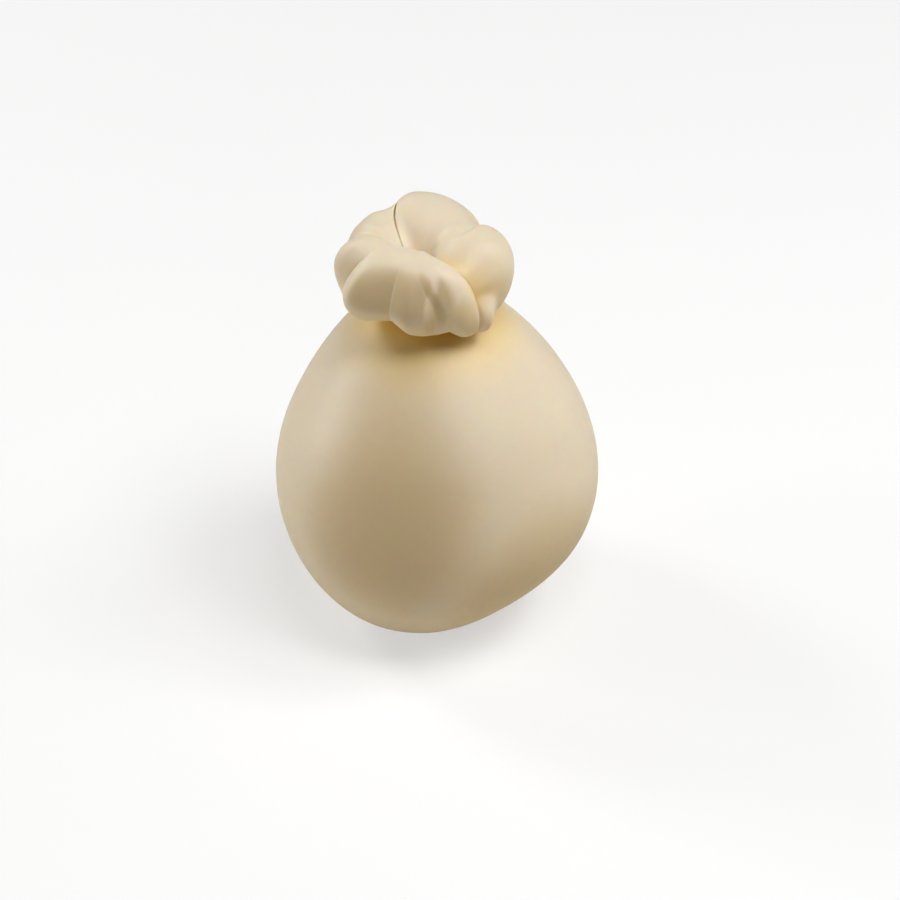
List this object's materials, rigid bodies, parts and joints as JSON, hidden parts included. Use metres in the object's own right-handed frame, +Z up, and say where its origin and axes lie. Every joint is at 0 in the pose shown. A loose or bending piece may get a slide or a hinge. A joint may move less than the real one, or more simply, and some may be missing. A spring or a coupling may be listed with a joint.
{
  "type": "provola cheese",
  "caption": "Whole pear-shaped stretched-curd cheese with a smooth round body, a narrow neck and a folded, lobed head round a small pit.",
  "frame": {"origin": "middle of the flat spot that the cheese rests on", "axes": "+Z up through the neck and head, -Y towards the front, +X to the right of a viewer in front"},
  "size_m": [0.1147, 0.1141, 0.1595],
  "materials": {
    "curd": "smooth ivory cheese skin with a satin sheen, a little yellower in the folds"
  },
  "bodies": {
    "root": {"provola": "curd"}
  },
  "joints": []
}
